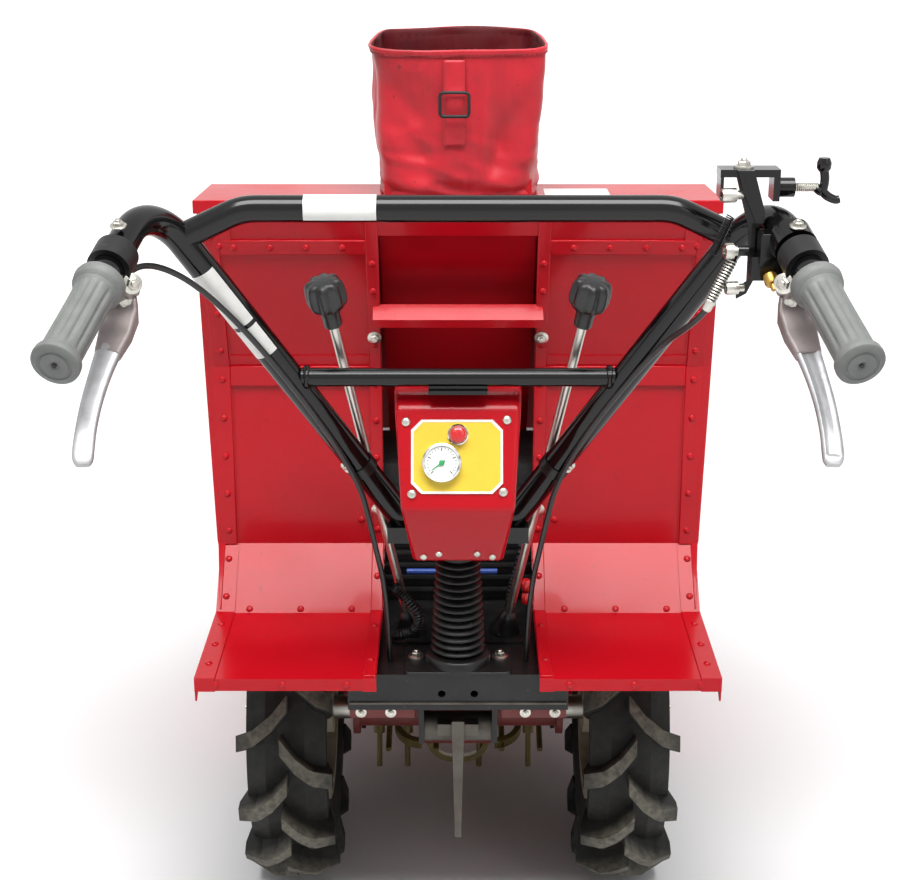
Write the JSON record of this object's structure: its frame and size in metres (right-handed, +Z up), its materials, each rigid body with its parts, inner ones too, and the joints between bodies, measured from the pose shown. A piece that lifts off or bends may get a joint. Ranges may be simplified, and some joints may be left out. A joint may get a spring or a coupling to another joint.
{
  "type": "walk-behind pick-up harvester",
  "caption": "Walk-behind harvester on lug tyres: low pick-up reel, inclined duct to a fabric spout, sheet-metal body with rear shelves, handlebar and control box.",
  "frame": {"origin": "on the ground below the wheel axle, at the middle of the length and width", "axes": "+X to the operator's right, +Y forward, away from the operator, +Z up"},
  "size_m": [0.7104, 1.2468, 1.057],
  "materials": {
    "body_red": "gloss paint on sheet steel",
    "frame_black": "satin black paint",
    "tube_black": "gloss black paint on steel tube",
    "axle_red": "dull red primer paint",
    "engine_cast": "cast, dull",
    "rim_paint": "grey paint on pressed steel",
    "reel_paint": "olive brown paint, worn",
    "bright_steel": "zinc plated",
    "stake_steel": "dark rolled steel",
    "lever_cast": "cast, lightly polished",
    "tyre": "black rubber",
    "black_rubber": "satin",
    "grip_rubber": "matte grey",
    "black_plastic": "smooth black",
    "button_red": "smooth red",
    "plate_yellow": "blank printed plate, satin",
    "gauge_chrome": "bright bezel",
    "spout_cloth": "coated cloth, satin"
  },
  "bodies": {
    "chassis": {"axle_gear_case": "axle_red", "bellows": "black_rubber", "brake_cable": "black_plastic", "brake_lever_left": "lever_cast", "brake_lever_right": "lever_cast", "channel_cheek_left": "body_red", "channel_cheek_right": "body_red", "channel_crossbar": "body_red", "chassis_frame": "frame_black", "clutch_bracket": "tube_black", "clutch_cable": "black_plastic", "control_box": "body_red", "deflector_left": "body_red", "deflector_right": "body_red", "elevator_duct": "body_red", "engine_block": "engine_cast", "fabric_spout": "spout_cloth", "front_hood": "body_red", "gauge": "gauge_chrome", "gear_knob_left": "black_plastic", "gear_knob_right": "black_plastic", "gear_lever_left": "bright_steel", "gear_lever_right": "bright_steel", "grip_left": "grip_rubber", "grip_right": "grip_rubber", "handle_post": "frame_black", "handlebar": "tube_black", "lever_perch_left": "frame_black", "lever_perch_right": "frame_black", "outlet_collar": "body_red", "panel_plate": "plate_yellow", "push_button": "button_red", "rear_panel_left": "body_red", "rear_panel_right": "body_red", "reel_hanger_left": "frame_black", "reel_hanger_right": "frame_black", "side_wall_left": "body_red", "side_wall_right": "body_red", "skid_left": "frame_black", "skid_right": "frame_black", "stake_bracket": "frame_black", "top_cap": "body_red", "wing_screw": "bright_steel"},
    "wheel_left": {"tyre_left": "tyre", "rim_left": "rim_paint", "axle_shaft_left": "bright_steel"},
    "wheel_right": {"tyre_right": "tyre", "rim_right": "rim_paint", "axle_shaft_right": "bright_steel"},
    "reel": {"pickup_reel": "reel_paint"},
    "stake": {"stake": "stake_steel"}
  },
  "joints": [
    {"name": "wheel_left_spin", "type": "hinge", "parent": "chassis", "child": "wheel_left", "pos_m": [-0.204, 0, 0.21], "axis": [1, 0, 0], "continuous": true},
    {"name": "wheel_right_spin", "type": "hinge", "parent": "chassis", "child": "wheel_right", "pos_m": [0.204, 0, 0.21], "axis": [1, 0, 0], "continuous": true},
    {"name": "reel_spin", "type": "hinge", "parent": "chassis", "child": "reel", "pos_m": [0, 0.21987, 0.125], "axis": [1, 0, 0], "continuous": true},
    {"name": "stake_swing", "type": "hinge", "parent": "chassis", "child": "stake", "pos_m": [0, -0.226, 0.301], "axis": [-1, 0, 0], "range_deg": [0, 60]}
  ]
}
